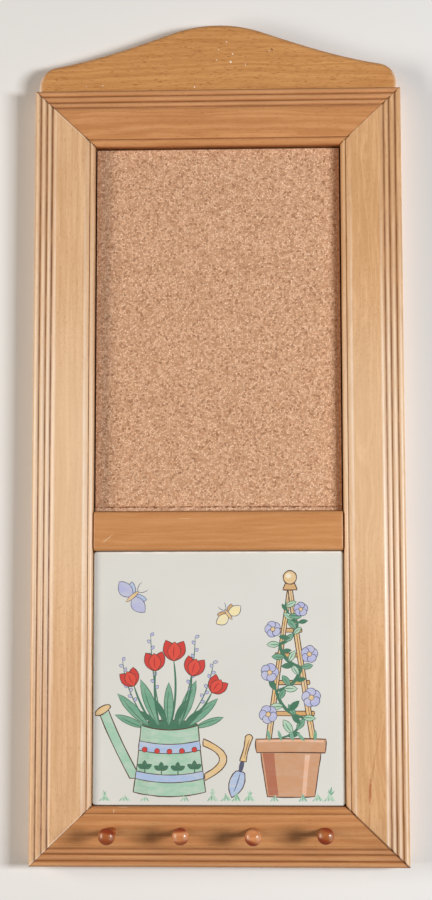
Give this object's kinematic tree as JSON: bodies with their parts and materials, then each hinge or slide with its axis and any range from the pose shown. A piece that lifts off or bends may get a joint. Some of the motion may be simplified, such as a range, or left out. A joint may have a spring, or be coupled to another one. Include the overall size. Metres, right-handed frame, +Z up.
{
  "type": "memo rack",
  "caption": "Wall-hung memo rack: a mitred reeded wood frame with a shaped crest, a cork panel above a glazed picture tile, and turned key pegs along the bottom rail.",
  "frame": {"origin": "the hanging point: the top of the middle notch of the sawtooth hanger, on the plane of the frame's back", "axes": "+X to the viewer's right, +Y into the wall (the face looks along -Y), +Z up"},
  "size_m": [0.228, 0.0437, 0.5198],
  "materials": {
    "stile_wood": "satin lacquer",
    "rail_wood": "satin lacquer",
    "crest_wood": "satin lacquer",
    "peg_wood": "gloss stain",
    "dowel_wood": "raw",
    "cork": "granular matte",
    "tile_glaze": "clear gloss glaze over a printed picture",
    "hardboard": "pressed board",
    "steel": "zinc plated"
  },
  "bodies": {
    "root": {"left_stile": "stile_wood", "right_stile": "stile_wood", "top_rail": "rail_wood", "bottom_rail": "rail_wood", "crest_board": "crest_wood", "divider_bar": "rail_wood", "key_peg_1": "peg_wood", "key_peg_2": "peg_wood", "key_peg_3": "peg_wood", "key_peg_4": "peg_wood", "crest_dowel_left": "dowel_wood", "crest_dowel_right": "dowel_wood", "divider_dowel_left": "dowel_wood", "divider_dowel_right": "dowel_wood", "cork_sheet": "cork", "picture_tile": "tile_glaze", "back_panel": "hardboard", "corner_wedge_bottom_left_1": "steel", "corner_wedge_bottom_left_2": "steel", "corner_wedge_top_left_1": "steel", "corner_wedge_top_left_2": "steel", "corner_wedge_bottom_right_1": "steel", "corner_wedge_bottom_right_2": "steel", "corner_wedge_top_right_1": "steel", "corner_wedge_top_right_2": "steel", "panel_point_left_stile_1": "steel", "panel_point_left_stile_2": "steel", "panel_point_left_stile_3": "steel", "panel_point_right_stile_1": "steel", "panel_point_right_stile_2": "steel", "panel_point_right_stile_3": "steel", "panel_point_top_rail_1": "steel", "panel_point_top_rail_2": "steel", "panel_point_bottom_rail_1": "steel", "panel_point_bottom_rail_2": "steel", "sawtooth_hanger": "steel", "hanger_nail_left": "steel", "hanger_nail_right": "steel"}
  },
  "joints": []
}
